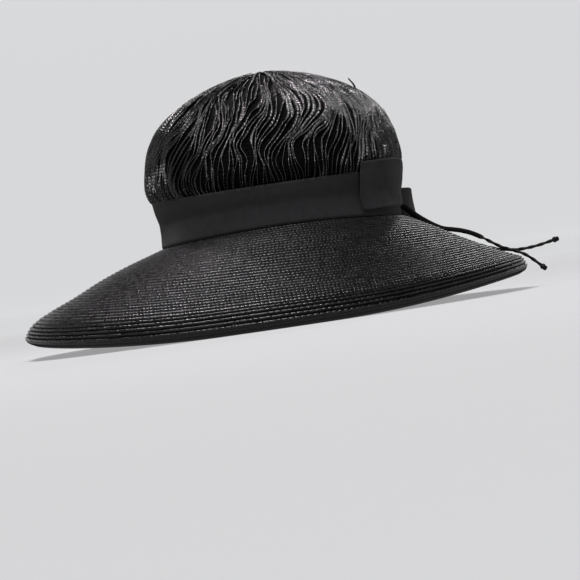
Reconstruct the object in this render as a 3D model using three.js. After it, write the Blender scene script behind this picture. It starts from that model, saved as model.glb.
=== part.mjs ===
// A black straw hat: a gathered crown, a wide turned-down brim with a corded edge and a turned-under
// hem strip, a ribbon band with a side bow, and two thin ties with knotted ends.
// Millimetres, +Z up, the front of the hat towards -Y. The origin is on the floor below the brim's centre.
import * as THREE from "three";

// Overall
const clearance = 0.3;
const degree = Math.PI / 180;
const searchHalfAngle = 40;
const searchSteps = 24;

// Brim
const brimHalfWidth = 192;
const brimHalfDepth = 190;
const brimThickness = 2;
const sideLift = 12;
const restHalfAngle = 12;
const roundness = 2.2;
const bluntness = 0.35;
const bluntTurn = 40;
const seamHeight = 73;
const seamDip = 4.6;
const brimStations = 72;
const slopeReach = 0.02;
const ribCount = 4;
const ribHeight = 0.6;
const ribStart = 0.88;

// Hem strip under the rim
const hemDrop = 4.6;
const hemInset = 5.4;
const hemThickness = 1.8;

// Crown
const crownOffset = 11.5;
const crownHalfWidth = 97.7;
const crownDepthRatio = 1.085;
const crownHeight = 118.2;
const crownWall = 3;
const pleatCount = 44;
const pleatDepth = 0.9;
const pleatFadeShare = 0.5;

// Ribbon
const bandWidth = 31;
const ribbonThickness = 1;
const bandThickness = 1.3;

// Bow
const loopWidth = 35.8;
const loopSeat = 0.5;
const loopLevels = 5;
const frontStandoff = 12.5;
const rearStandoff = 23;
const frontReach = 54;
const rearReach = 42;
const frontLoopLift = 2.1;
const rearLoopLift = 0.9;
const rearLoopTop = 16.4;
const knotAngle = 100;
const knotHalfAngle = 4.5;
const knotHeight = 26;
const knotMiddle = 17.5;
const knotProud = 3.4;
const knotFold = 0.7;

// Ties
const tieDiameter = 2.4;
const tieSides = 8;
const tieStepDiameters = 2.5;
const tipRows = 6;
const tipKnotLength = 6;
const tipKnotDiameter = 4.4;

// From the crown's seam to the rim: the share of the way out, and the share of the way down on each side
const brimProfile = [
  { out: 0, left: 0, right: 0 },
  { out: 0.1, left: 0.065, right: 0.085 },
  { out: 0.25, left: 0.165, right: 0.22 },
  { out: 0.45, left: 0.325, right: 0.42 },
  { out: 0.65, left: 0.52, right: 0.6 },
  { out: 0.82, left: 0.67, right: 0.745 },
  { out: 0.92, left: 0.785, right: 0.825 },
  { out: 0.975, left: 0.9, right: 0.895 },
  { out: 1, left: 1, right: 1 },
];

// Up the crown: the share of its height and of its half width
const crownProfile = [
  { up: 0, wide: 0.928 },
  { up: 0.075, wide: 0.918 },
  { up: 0.135, wide: 0.918 },
  { up: 0.2, wide: 0.942 },
  { up: 0.255, wide: 0.955 },
  { up: 0.29, wide: 0.984 },
  { up: 0.36, wide: 1 },
  { up: 0.46, wide: 0.982 },
  { up: 0.56, wide: 0.952 },
  { up: 0.65, wide: 0.9 },
  { up: 0.73, wide: 0.824 },
  { up: 0.81, wide: 0.71 },
  { up: 0.88, wide: 0.56 },
  { up: 0.94, wide: 0.38 },
  { up: 0.98, wide: 0.19 },
];

// Sway of the gathers up the crown: the share of its height and the turn in degrees
const crownSway = [
  { up: 0, turn: 0 },
  { up: 0.29, turn: 0 },
  { up: 0.5, turn: 2.5 },
  { up: 0.7, turn: 9 },
  { up: 0.88, turn: 7 },
  { up: 1, turn: 12 },
];

// Bow loops in plan: the share of the loop's reach from the knot and the share of its standoff.
// The front loop is pinched towards the knot: its lower and upper edges are shares of its width.
const frontLoopWall = [
  { along: 0, out: 0.14, low: 0.13, high: 0.74 },
  { along: 0.15, out: 0.16, low: 0.09, high: 0.78 },
  { along: 0.3, out: 0.26, low: 0.05, high: 0.85 },
  { along: 0.44, out: 0.44, low: 0.02, high: 0.93 },
  { along: 0.57, out: 0.66, low: 0, high: 0.98 },
  { along: 0.71, out: 0.88, low: 0, high: 1 },
  { along: 0.83, out: 1, low: 0, high: 1 },
  { along: 0.92, out: 0.9, low: 0, high: 1 },
  { along: 0.975, out: 0.6, low: 0, high: 1 },
  { along: 1, out: 0.24, low: 0, high: 1 },
];
const rearLoopWall = [
  { along: 0, out: 0.12 },
  { along: 0.06, out: 0.42 },
  { along: 0.15, out: 0.78 },
  { along: 0.26, out: 1 },
  { along: 0.4, out: 1 },
  { along: 0.56, out: 0.88 },
  { along: 0.73, out: 0.72 },
  { along: 0.87, out: 0.56 },
  { along: 0.965, out: 0.36 },
  { along: 1, out: 0.1 },
];

// The knot's section, up its face and down its back: shares of its half height and of its stand-off
const knotSection = [
  { up: -1, out: 0 },
  { up: -1, out: 0.6 },
  { up: -0.7, out: 1 },
  { up: 0, out: 1.08 },
  { up: 0.7, out: 1 },
  { up: 1, out: 0.6 },
  { up: 1, out: 0 },
  { up: 0.3, out: 0 },
  { up: -0.3, out: 0 },
];

// The knot's sections from edge to edge: shares of its height, stand-off and fold depth
const knotColumns = [
  { across: -1, tall: 1, proud: 0.65, fold: 0 },
  { across: -0.6, tall: 0.923, proud: 0.874, fold: 1 },
  { across: -0.2, tall: 0.885, proud: 0.986, fold: 0 },
  { across: 0.2, tall: 0.885, proud: 0.986, fold: 1 },
  { across: 0.6, tall: 0.923, proud: 0.874, fold: 0 },
  { across: 1, tall: 1, proud: 0.65, fold: 1 },
];

// Routes of the ties, from the knot over the brim to just short of their tip knots
const tieRoutes = [
  [
    [105, 17.4, 76], [108.2, 17, 73.6], [112.4, 16.4, 69.6], [117, 15.6, 65.4], [122, 14.8, 61.4],
    [128, 14.1, 57.2], [134, 13.4, 54], [141, 12.8, 52.2], [148, 12, 50.2], [155, 11, 47.2],
    [162, 9.8, 43], [169, 8.2, 38], [176, 6.2, 33.4], [183, 4, 30.2], [189, 2, 27.4],
    [194, 0.4, 24], [198.6, -1, 19.8], [202.6, -2.2, 15.8],
  ],
  [
    [104.6, 21.2, 76], [107.8, 21.8, 73.4], [112, 22.6, 68.8], [117, 23.6, 64], [122, 24.8, 59.8],
    [128, 26.2, 55.8], [134, 27.8, 52], [141, 29.4, 48], [148, 30.6, 44.2], [155, 31.6, 40.5],
    [162, 32.2, 37], [169, 32.2, 34], [176, 31.6, 31.8], [183, 30.8, 30.4], [190, 29.8, 29.8],
    [197, 28.8, 29.9], [204, 28, 30.6], [210, 27.4, 31.6], [216, 26.8, 32.8],
  ],
];

const crownBase = seamHeight + clearance;

// Value of a table's column at a share between its rows
function readTable(table, key, share, column) {
  const found = table.findIndex((row) => row[key] >= share);
  const next = found < 0 ? table.length - 1 : Math.max(1, found);
  const from = table[next - 1];
  const to = table[next];
  const part = (share - from[key]) / (to[key] - from[key]);
  return from[column] + (to[column] - from[column]) * part;
}

// Plan radius of the rim at an angle from the front, blunter towards the left and the back
function rimRadius(angle) {
  const power = roundness - bluntness * Math.sin(angle + bluntTurn * degree);
  const across = Math.abs(Math.sin(angle) / brimHalfWidth) ** power;
  const along = Math.abs(Math.cos(angle) / brimHalfDepth) ** power;
  return (across + along) ** (-1 / power);
}

// Height of the hem's foot: flat on the floor at the front and back, raised at the sides
function footHeight(angle) {
  const flat = Math.sin(restHalfAngle * degree);
  const rise = Math.max(0, Math.abs(Math.sin(angle)) - flat) / (1 - flat);
  return sideLift * rise ** 2;
}

function rimHeight(angle) {
  return footHeight(angle) + hemDrop;
}

// How far the crown's seam dips towards the sides
function dipAt(angle) {
  return seamDip * Math.sin(angle) ** 2;
}

// Height of a level that lies a rise above the crown's base: the dip fades out at the band's top
function levelHeight(angle, rise) {
  return crownBase + rise - dipAt(angle) * Math.max(0, 1 - rise / bandWidth);
}

function riseAt(angle, height) {
  const above = height - crownBase;
  const dip = dipAt(angle);
  return above > bandWidth ? above : (above + dip) / (1 + dip / bandWidth);
}

// A point at an angle from the front, a radius from the brim's centre and a height
function planPoint(angle, radius, height) {
  return new THREE.Vector3(radius * Math.sin(angle), -radius * Math.cos(angle), height);
}

// A point on the crown's oval with a half width, moved out by a distance in plan
function ovalPoint(angle, halfWidth, height, proud = 0) {
  const halfDepth = halfWidth * crownDepthRatio;
  const point = new THREE.Vector3(halfWidth * Math.sin(angle), -halfDepth * Math.cos(angle), 0);
  const outward = new THREE.Vector3(point.x / halfWidth ** 2, point.y / halfDepth ** 2, 0).normalize();
  return point.addScaledVector(outward, proud).add(new THREE.Vector3(crownOffset, 0, height));
}

// Index triples to a closed mesh, turned round if its faces would point inwards
function solidMesh(name, points, triangles, material) {
  let volume = 0;
  for (const [a, b, c] of triangles) {
    volume += points[a].dot(new THREE.Vector3().crossVectors(points[b], points[c]));
  }
  const index = triangles.flatMap(([a, b, c]) => (volume < 0 ? [a, c, b] : [a, b, c]));
  const geometry = new THREE.BufferGeometry();
  const position = new Float32Array(points.flatMap((point) => point.toArray()));
  geometry.setAttribute("position", new THREE.BufferAttribute(position, 3));
  geometry.setIndex(index);
  geometry.computeVertexNormals();
  const mesh = new THREE.Mesh(geometry, material);
  mesh.name = name;
  return mesh;
}

// Two triangles between each pair of neighbouring rings, with every ring closed on itself
function ringBands(rings, closed) {
  const size = rings[0].length;
  const triangles = [];
  const spans = closed ? rings.length : rings.length - 1;
  for (let r = 0; r < spans; r += 1) {
    const next = (r + 1) % rings.length;
    for (let i = 0; i < size; i += 1) {
      const j = (i + 1) % size;
      const corners = [r * size + i, r * size + j, next * size + j, next * size + i];
      triangles.push([corners[0], corners[1], corners[2]]);
      triangles.push([corners[0], corners[2], corners[3]]);
    }
  }
  return triangles;
}

// A closed section carried round a closed path: sections[station][corner]
function loopSolid(name, sections, material) {
  return solidMesh(name, sections.flat(), ringBands(sections, true), material);
}

// Stacked closed rings with both ends brought to a point
function cappedSolid(name, rings, firstPole, lastPole, material) {
  const points = [...rings.flat(), firstPole, lastPole];
  const triangles = ringBands(rings, false);
  const size = rings[0].length;
  const lastRing = (rings.length - 1) * size;
  for (let i = 0; i < size; i += 1) {
    const j = (i + 1) % size;
    triangles.push([points.length - 2, j, i]);
    triangles.push([points.length - 1, lastRing + i, lastRing + j]);
  }
  return solidMesh(name, points, triangles, material);
}

function stationAngles(count) {
  return Array.from({ length: count }, (_, i) => (i / count) * 2 * Math.PI);
}

// Brim: a thin shell from the seam to the rim
function innerEdge(angle) {
  const seamHalfWidth = crownHalfWidth * crownProfile[0].wide;
  return ovalPoint(angle, seamHalfWidth - crownWall - brimThickness, seamHeight - dipAt(angle));
}

function seamPoint(angle) {
  const seamHalfWidth = crownHalfWidth * crownProfile[0].wide + bandThickness + clearance;
  return ovalPoint(angle, seamHalfWidth, seamHeight - dipAt(angle));
}

// The upper line of the brim's section: distance out from the seam and height
function brimLine(angle) {
  const seam = seamPoint(angle);
  const rim = planPoint(angle, rimRadius(angle), rimHeight(angle));
  const run = Math.hypot(rim.x - seam.x, rim.y - seam.y);
  const fall = seam.z - rim.z;
  const rightness = (1 + Math.sin(angle)) / 2;
  const place = (share) => {
    const left = readTable(brimProfile, "out", share, "left");
    const right = readTable(brimProfile, "out", share, "right");
    return { out: run * share, up: seam.z - fall * (left + (right - left) * rightness) };
  };
  const heading = new THREE.Vector3(rim.x - seam.x, rim.y - seam.y, 0).normalize();
  return { seam, run, place, heading };
}

function brimSection(angle) {
  const { seam, run, place, heading } = brimLine(angle);
  const toPoint = ({ out, up }) => seam.clone().addScaledVector(heading, out).setZ(up);
  const outwardOf = (share) => {
    const before = place(Math.max(0, share - slopeReach));
    const after = place(Math.min(1, share + slopeReach));
    const length = Math.hypot(after.out - before.out, after.up - before.up);
    return { out: -(after.up - before.up) / length, up: (after.out - before.out) / length };
  };
  const moved = (share, distance) => {
    const normal = outwardOf(share);
    const base = place(share);
    return toPoint({ out: base.out + normal.out * distance, up: base.up + normal.up * distance });
  };
  const shares = brimProfile.map((row) => row.out);
  const plainShares = shares.filter((share) => share < ribStart);
  const upper = plainShares.map((share) => moved(share, 0));
  const ribPitch = (1 - ribStart) / ribCount;
  for (let rib = 0; rib < ribCount; rib += 1) {
    upper.push(moved(ribStart + rib * ribPitch, 0));
    upper.push(moved(ribStart + (rib + 0.5) * ribPitch, ribHeight));
  }
  const edgeUp = rimHeight(angle);
  upper.push(toPoint({ out: run, up: edgeUp }));
  const lower = shares.slice(0, -1).map((share) => moved(share, -brimThickness));
  lower.push(toPoint({ out: run - brimThickness, up: edgeUp }));
  const inner = innerEdge(angle);
  return [inner, ...upper, ...lower.reverse(), inner.clone().setZ(inner.z - brimThickness)];
}

function makeBrim(material) {
  return loopSolid("brim", stationAngles(brimStations).map(brimSection), material);
}

// Hem strip: hangs below the rim's edge and slants inwards to a narrow flat foot
function hemSection(angle) {
  const radius = rimRadius(angle);
  const foot = footHeight(angle);
  const top = rimHeight(angle) - clearance;
  const corner = (inset, height) => planPoint(angle, radius - inset, height);
  return [
    corner(0, top),
    corner(hemInset, foot),
    corner(hemInset + hemThickness, foot),
    corner(hemThickness, top),
  ];
}

function makeHemStrip(material) {
  return loopSolid("hem_strip", stationAngles(brimStations).map(hemSection), material);
}

// Crown
function crownOuter(angle, row, side) {
  const bandTop = bandWidth / crownHeight;
  const pleats = row.up > bandTop ? pleatDepth * side * Math.min(1, row.wide / pleatFadeShare) : 0;
  const turned = angle + readTable(crownSway, "up", row.up, "turn") * degree;
  return ovalPoint(turned, crownHalfWidth * row.wide + pleats, levelHeight(turned, row.up * crownHeight));
}

function makeCrown(material) {
  const angles = stationAngles(pleatCount * 2);
  const outerRings = crownProfile.map((row) =>
    angles.map((angle, i) => crownOuter(angle, row, i % 2 ? -1 : 0)),
  );
  const liningRows = crownProfile.filter((row, i) => i % 2 === 0);
  const innerRings = liningRows.reverse().map((row) => {
    const rise = row.up * (crownHeight - crownWall);
    const halfWidth = crownHalfWidth * row.wide - crownWall;
    return angles.map((angle) => ovalPoint(angle, halfWidth, levelHeight(angle, rise)));
  });
  const outerTop = new THREE.Vector3(crownOffset, 0, crownBase + crownHeight);
  const innerTop = new THREE.Vector3(crownOffset, 0, crownBase + crownHeight - crownWall);
  const rings = [...innerRings, ...outerRings];
  return cappedSolid("crown", rings, innerTop, outerTop, material);
}

function crownHalfWidthAt(rise) {
  return crownHalfWidth * readTable(crownProfile, "up", Math.max(0, rise) / crownHeight, "wide");
}

// Half width of the band's outer face, or of the crown above it, at a rise over the crown's base
function bodyHalfWidth(rise) {
  const band = crownHalfWidthAt(Math.min(rise, bandWidth)) + clearance + bandThickness;
  return Math.max(band, crownHalfWidthAt(rise));
}

function makeBand(material) {
  const below = crownProfile.map((row) => row.up * crownHeight).filter((rise) => rise < bandWidth);
  const rises = [...below, bandWidth];
  const sections = stationAngles(brimStations).map((angle) => {
    const wall = (thickness) => (rise) =>
      ovalPoint(angle, bodyHalfWidth(rise) - thickness, levelHeight(angle, rise));
    return [...rises.map(wall(0)), ...rises.map(wall(bandThickness)).reverse()];
  });
  return loopSolid("hat_band", sections, material);
}

// Height of the brim's upper face below a point in plan: the station whose line passes the point is
// found by halving
function brimHeightAt(point) {
  const around = Math.atan2(point.x, -point.y);
  let low = around - searchHalfAngle * degree;
  let high = around + searchHalfAngle * degree;
  for (let step = 0; step < searchSteps; step += 1) {
    const middle = (low + high) / 2;
    const { seam, heading } = brimLine(middle);
    const side = heading.x * (point.y - seam.y) - heading.y * (point.x - seam.x);
    if (side > 0) low = middle;
    else high = middle;
  }
  const { seam, run, place } = brimLine(low);
  return place(Math.hypot(point.x - seam.x, point.y - seam.y) / run).up;
}

// A point beside the band or the crown at an angle and height, moved out by a distance
function besideBody(angle, height, out) {
  return ovalPoint(angle, bodyHalfWidth(riseAt(angle, height)), height, out);
}

// Bow loops: an upright ring of ribbon whose inner side follows the band
function loopPath({ wall, standoff, reach, side, lowEdge, highEdge }, share) {
  const innerSide = loopSeat + ribbonThickness / 2;
  const leastOut = innerSide + ribbonThickness + clearance;
  const knotEdge = knotHalfAngle * degree + (clearance + ribbonThickness / 2) / crownHalfWidth;
  const place = (row, out) => {
    const angle = knotAngle * degree + side * (knotEdge + row.along * reach * degree);
    const low = lowEdge(row, ovalPoint(angle, bodyHalfWidth(0), crownBase, out));
    return besideBody(angle, low + share * (highEdge(row) - low), out);
  };
  const outer = wall.map((row) => place(row, Math.max(leastOut, row.out * standoff)));
  const inner = wall.slice(1, -1).reverse().map((row) => place(row, innerSide));
  return [...outer, ...inner];
}

function makeLoop(name, shape, material) {
  const levels = Array.from({ length: loopLevels + 1 }, (_, i) => i / loopLevels);
  const lines = levels.map((share) => loopPath(shape, share));
  const count = lines[0].length;
  const sections = lines[0].map((_, i) => {
    const sides = lines.map((line) => {
      const along = line[(i + 1) % count].clone().sub(line[(i + count - 1) % count]).setZ(0);
      const across = new THREE.Vector3(along.y, -along.x, 0).setLength(ribbonThickness / 2);
      return [line[i].clone().add(across), line[i].clone().sub(across)];
    });
    return [...sides.map((pair) => pair[0]), ...sides.map((pair) => pair[1]).reverse()];
  });
  return loopSolid(name, sections, material);
}

// Bow knot: a pinched wrap of ribbon with soft vertical folds
function makeKnot(material) {
  const middle = crownBase + knotMiddle;
  const rings = knotColumns.map((column) => {
    const angle = (knotAngle + column.across * knotHalfAngle) * degree;
    const half = (knotHeight / 2) * column.tall;
    const face = knotProud * column.proud - knotFold * column.fold;
    return knotSection.map((row) => besideBody(angle, middle + row.up * half, clearance + row.out * face));
  });
  const centre = (ring) => ring.reduce((sum, p) => sum.add(p), new THREE.Vector3()).divideScalar(ring.length);
  return cappedSolid("bow_knot", rings, centre(rings[0]), centre(rings.at(-1)), material);
}

// Ties: a round section along the chosen route, and a small knot just past its end
function makeTie(name, route, material) {
  const curve = new THREE.CatmullRomCurve3(route.map((point) => new THREE.Vector3(...point)));
  const outline = new THREE.Shape();
  for (let i = 0; i < tieSides; i += 1) {
    const angle = (i / tieSides) * 2 * Math.PI;
    const x = (tieDiameter / 2) * Math.cos(angle);
    const y = (tieDiameter / 2) * Math.sin(angle);
    if (i === 0) outline.moveTo(x, y);
    else outline.lineTo(x, y);
  }
  outline.closePath();
  const steps = Math.round(curve.getLength() / (tieDiameter * tieStepDiameters));
  const geometry = new THREE.ExtrudeGeometry(outline, { steps, extrudePath: curve, curveSegments: 1 });
  const mesh = new THREE.Mesh(geometry, material);
  mesh.name = name;
  return mesh;
}

function makeTip(name, route, material) {
  const end = new THREE.Vector3(...route.at(-1));
  const along = end.clone().sub(new THREE.Vector3(...route.at(-2))).normalize();
  const geometry = new THREE.SphereGeometry(0.5, tieSides, tipRows);
  const mesh = new THREE.Mesh(geometry, material);
  mesh.name = name;
  mesh.scale.set(tipKnotDiameter, tipKnotDiameter, tipKnotLength);
  mesh.quaternion.setFromUnitVectors(new THREE.Vector3(0, 0, 1), along);
  mesh.position.copy(end.addScaledVector(along, tipKnotLength / 2 + clearance));
  return mesh;
}

const straw = new THREE.MeshStandardMaterial({ color: 0x1d1c1d, roughness: 0.38, metalness: 0 });
const gatheredStraw = new THREE.MeshStandardMaterial({ color: 0x121213, roughness: 0.3, metalness: 0 });
const netting = new THREE.MeshStandardMaterial({ color: 0x2a2829, roughness: 0.7, metalness: 0 });
const ribbon = new THREE.MeshStandardMaterial({ color: 0x1e1e1f, roughness: 0.85, metalness: 0 });
const tieCord = new THREE.MeshStandardMaterial({ color: 0x161415, roughness: 0.6, metalness: 0 });

const hat = new THREE.Group();
hat.add(makeBrim(straw));
hat.add(makeHemStrip(netting));
hat.add(makeCrown(gatheredStraw));
hat.add(makeBand(ribbon));
const frontLoop = {
  wall: frontLoopWall,
  standoff: frontStandoff,
  reach: frontReach,
  side: -1,
  lowEdge: (row) => crownBase + frontLoopLift + row.low * loopWidth,
  highEdge: (row) => crownBase + frontLoopLift + row.high * loopWidth,
};
const rearLoop = {
  wall: rearLoopWall,
  standoff: rearStandoff,
  reach: rearReach,
  side: 1,
  lowEdge: (row, foot) => brimHeightAt(foot) + rearLoopLift,
  highEdge: () => crownBase + rearLoopTop,
};
hat.add(makeLoop("bow_front_loop", frontLoop, ribbon));
hat.add(makeLoop("bow_rear_loop", rearLoop, ribbon));
hat.add(makeKnot(ribbon));
tieRoutes.forEach((route, i) => {
  hat.add(makeTie(`tie_tail_${i + 1}`, route, tieCord));
  hat.add(makeTip(`tie_tip_${i + 1}`, route, tieCord));
});

export default hat;
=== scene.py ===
import math

import bpy
import numpy as np
from mathutils import Matrix, Vector


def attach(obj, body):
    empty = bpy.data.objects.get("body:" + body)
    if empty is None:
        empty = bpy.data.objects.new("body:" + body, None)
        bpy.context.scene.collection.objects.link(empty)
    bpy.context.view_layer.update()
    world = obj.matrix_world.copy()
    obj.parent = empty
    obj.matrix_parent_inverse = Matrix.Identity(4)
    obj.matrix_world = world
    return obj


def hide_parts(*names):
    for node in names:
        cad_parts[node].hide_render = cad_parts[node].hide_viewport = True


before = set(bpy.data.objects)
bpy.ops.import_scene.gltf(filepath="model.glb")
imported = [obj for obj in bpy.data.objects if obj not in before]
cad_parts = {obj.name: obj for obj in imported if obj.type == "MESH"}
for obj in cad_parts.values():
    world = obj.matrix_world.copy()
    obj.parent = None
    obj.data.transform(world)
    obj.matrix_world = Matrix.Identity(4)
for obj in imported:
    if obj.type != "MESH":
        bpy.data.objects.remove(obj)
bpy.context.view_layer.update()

# lengths are in mm and angles in degrees in the dictionaries below, unless a note says otherwise
mm = 0.001
degree = math.pi / 180
fullTurn = 2 * math.pi


def addObject(name, data):
    made = bpy.data.objects.new(name, data)
    bpy.context.collection.objects.link(made)
    return made


# camera
cameraSetup = {
    "aim": (11.0, 0.0, 24.5),  # the middle of the picture
    "distance": 2600.0,
    "elevation": 0.5,
    "roll": 8.33,  # the bow's side lies higher in the picture
    "lens": 212.0,
    "sensor": 36.0,
    "farthest": 50.0,  # m
}


def placeCamera(setup):
    rise = setup["elevation"] * degree
    away = Vector((0, -math.cos(rise), math.sin(rise)))
    right = Vector((1, 0, 0))
    up = away.cross(right)
    turn = setup["roll"] * degree
    rolledRight = right * math.cos(turn) - up * math.sin(turn)
    rolledUp = up * math.cos(turn) + right * math.sin(turn)
    data = bpy.data.cameras.new("hatCamera")
    data.lens = setup["lens"]
    data.sensor_width = setup["sensor"]
    data.clip_end = setup["farthest"]
    camera = addObject("hatCamera", data)
    place = Vector(setup["aim"]) * mm + away * setup["distance"] * mm
    turned = Matrix((rolledRight, rolledUp, away)).transposed().to_4x4()
    camera.matrix_world = Matrix.Translation(place) @ turned
    bpy.context.scene.camera = camera


placeCamera(cameraSetup)
print("camera placed")


# small tools for lines
def smoothCurve(xs, ys):
    # a smooth curve through a list of places and values that doesn't overshoot them
    xs = np.asarray(xs, float)
    ys = np.asarray(ys, float)
    step = np.diff(xs)
    slope = np.diff(ys) / step
    inner = (slope[:-1] * step[1:] + slope[1:] * step[:-1]) / (step[1:] + step[:-1])
    inner[slope[:-1] * slope[1:] <= 0] = 0
    tangent = np.concatenate([[slope[0]], inner, [slope[-1]]])

    def read(x):
        x = np.clip(x, xs[0], xs[-1])
        i = np.clip(np.searchsorted(xs, x, side="right") - 1, 0, len(step) - 1)
        t = (x - xs[i]) / step[i]
        s = 1 - t
        return (
            ys[i] * (1 + 2 * t) * s * s
            + ys[i + 1] * (3 - 2 * t) * t * t
            + step[i] * (tangent[i] * t * s * s - tangent[i + 1] * t * t * s)
        )

    return read


def throughPoints(points, perSpan, closed):
    # a smooth line through points, the same number of steps between each two
    points = np.asarray(points, float)
    if closed:
        padded = np.concatenate([points[-1:], points, points[:2]])
        spans = len(points)
    else:
        first = 2 * points[0] - points[1]
        last = 2 * points[-1] - points[-2]
        padded = np.concatenate([[first], points, [last]])
        spans = len(points) - 1
    line = []
    for k in range(spans):
        a, b, c, d = padded[k : k + 4]
        for j in range(perSpan):
            t = j / perSpan
            square = (2 * a - 5 * b + 4 * c - d) * t**2
            cube = (3 * b - a - 3 * c + d) * t**3
            line.append(0.5 * (2 * b + (c - a) * t + square + cube))
    if not closed:
        line.append(points[-1])
    return np.array(line)


def runAlong(line):
    # the length of a line up to each of its points
    return np.concatenate([[0], np.cumsum(np.linalg.norm(np.diff(line, axis=0), axis=1))])


def evenly(line, count):
    run = runAlong(line)
    places = np.linspace(0, run[-1], count)
    return np.stack([np.interp(places, run, line[:, a]) for a in range(3)], -1), run[-1]


def unit(v):
    return v / np.maximum(np.linalg.norm(v, axis=-1, keepdims=True), 1e-9)


def roundAngles(count):
    return np.arange(count) / count * fullTurn


def waveSum(waves, angle, share):
    # waves round the hat that also wind up it: size, number round the hat, turn per share, phase
    total = 0.0
    for size, times, wind, phase in waves:
        total = total + size * np.sin(times * angle + wind * share + phase)
    return total


# small tools for meshes
def gridFaces(rows, columns, closeRows, closeColumns):
    i = np.arange(rows if closeRows else rows - 1)
    k = np.arange(columns if closeColumns else columns - 1)
    ii, kk = (a.ravel() for a in np.meshgrid(i, k, indexing="ij"))
    ni, nk = (ii + 1) % rows, (kk + 1) % columns
    quads = np.stack([ii * columns + kk, ni * columns + kk, ni * columns + nk, ii * columns + nk], -1)
    return quads, ii, kk


def fanFaces(ringStart, size, pole, flip):
    a = ringStart + np.arange(size)
    b = ringStart + (np.arange(size) + 1) % size
    p = np.full(size, pole)
    return np.stack([p, b, a] if flip else [p, a, b], -1)


def gridUvs(ii, kk, uOf, vOf):
    # uOf and vOf get a face's row and column, and 0 or 1 for its near or far edge each way
    corners = []
    for di, dk in ((0, 0), (1, 0), (1, 1), (0, 1)):
        corners.append(np.stack([uOf(ii, kk, di, dk), vOf(ii, kk, di, dk)], -1))
    return np.stack(corners, 1)


def makeMesh(name, points, quads, material, triangles=None, uvs=None):
    # the faces are turned round if they would point inwards
    points = np.asarray(points, float).reshape(-1, 3)
    triangles = np.zeros((0, 3), int) if triangles is None else triangles
    split = np.concatenate([quads[:, [0, 1, 2]], quads[:, [0, 2, 3]], triangles])
    corners = points[split]
    volume = np.einsum("ij,ij->", corners[:, 0], np.cross(corners[:, 1], corners[:, 2]))
    if volume < 0:
        quads = quads[:, ::-1]
        triangles = triangles[:, ::-1]
        uvs = None if uvs is None else uvs[:, ::-1]
    mesh = bpy.data.meshes.new(name)
    mesh.vertices.add(len(points))
    mesh.vertices.foreach_set("co", (points * mm).ravel())
    loops = np.concatenate([quads.ravel(), triangles.ravel()]).astype(np.int32)
    mesh.loops.add(len(loops))
    mesh.loops.foreach_set("vertex_index", loops)
    mesh.polygons.add(len(quads) + len(triangles))
    starts = np.concatenate([np.arange(len(quads)) * 4, len(quads) * 4 + np.arange(len(triangles)) * 3])
    mesh.polygons.foreach_set("loop_start", starts.astype(np.int32))
    mesh.update(calc_edges=True)
    mesh.polygons.foreach_set("use_smooth", np.ones(len(starts), bool))
    if uvs is not None:
        layer = mesh.uv_layers.new(name="strands")
        flatUvs = np.concatenate([uvs.reshape(-1, 2), np.zeros((len(triangles) * 3, 2))])
        layer.data.foreach_set("uv", flatUvs.ravel())
    mesh.validate()
    mesh.materials.append(material)
    return addObject(name, mesh)


def makeSkin(name, grid, material, uAt, vAt, poles=None):
    # a mesh over closed rings; the last joins the first, or fans to two poles close both
    grid = np.asarray(grid)
    rings, size = grid.shape[:2]
    quads, ii, kk = gridFaces(rings, size, poles is None, True)
    uvs = gridUvs(ii, kk, lambda i, k, di, dk: uAt(i + di, k + dk), lambda i, k, di, dk: vAt(i + di, k + dk))
    if poles is None:
        return makeMesh(name, grid, quads, material, uvs=uvs)
    points = np.concatenate([grid.reshape(-1, 3), poles])
    first = fanFaces(0, size, rings * size, True)
    last = fanFaces((rings - 1) * size, size, rings * size + 1, False)
    return makeMesh(name, points, quads, material, np.concatenate([first, last]), uvs)


def dress(piece, slot, *nodes):
    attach(piece, "root")
    if nodes:
        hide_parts(*nodes)


# small tools for materials
def newMaterial(name, sockets):
    material = bpy.data.materials.new(name)
    material.use_nodes = True
    shader = material.node_tree.nodes["Principled BSDF"]
    for socket, value in sockets.items():
        shader.inputs[socket].default_value = value
    return material, material.node_tree, shader


def add(tree, kind, inputs=(), **settings):
    made = tree.nodes.new(kind)
    for name, value in settings.items():
        setattr(made, name, value)
    for place, value in enumerate(inputs):
        if isinstance(value, bpy.types.NodeSocket):
            tree.links.new(value, made.inputs[place])
        else:
            made.inputs[place].default_value = value
    return made


def calc(tree, operation, *values):
    return add(tree, "ShaderNodeMath", values, operation=operation).outputs[0]


def wave(tree, value):
    return calc(tree, "SINE", calc(tree, "MULTIPLY", value, fullTurn))


def noiseAt(tree, place, scale):
    noise = add(tree, "ShaderNodeTexNoise", [place])
    noise.inputs["Scale"].default_value = scale
    return noise


def colourInto(tree, shader, factor, dark, light):
    mix = add(tree, "ShaderNodeMix", data_type="RGBA")
    tree.links.new(factor, mix.inputs["Factor"])
    mix.inputs["A"].default_value = (*dark, 1)
    mix.inputs["B"].default_value = (*light, 1)
    tree.links.new(mix.outputs["Result"], shader.inputs["Base Color"])


def bumpInto(tree, shader, height, strength, distance):
    bump = add(tree, "ShaderNodeBump")
    bump.inputs["Strength"].default_value = strength
    bump.inputs["Distance"].default_value = distance * mm
    tree.links.new(height, bump.inputs["Height"])
    tree.links.new(bump.outputs[0], shader.inputs["Normal"])


def strandPlace(tree):
    # u counts plaits, ribs or threads along a strand, and v counts strands
    uv = add(tree, "ShaderNodeUVMap", uv_map="strands")
    parts = add(tree, "ShaderNodeSeparateXYZ", [uv.outputs[0]])
    return parts.outputs[0], parts.outputs[1]


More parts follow.
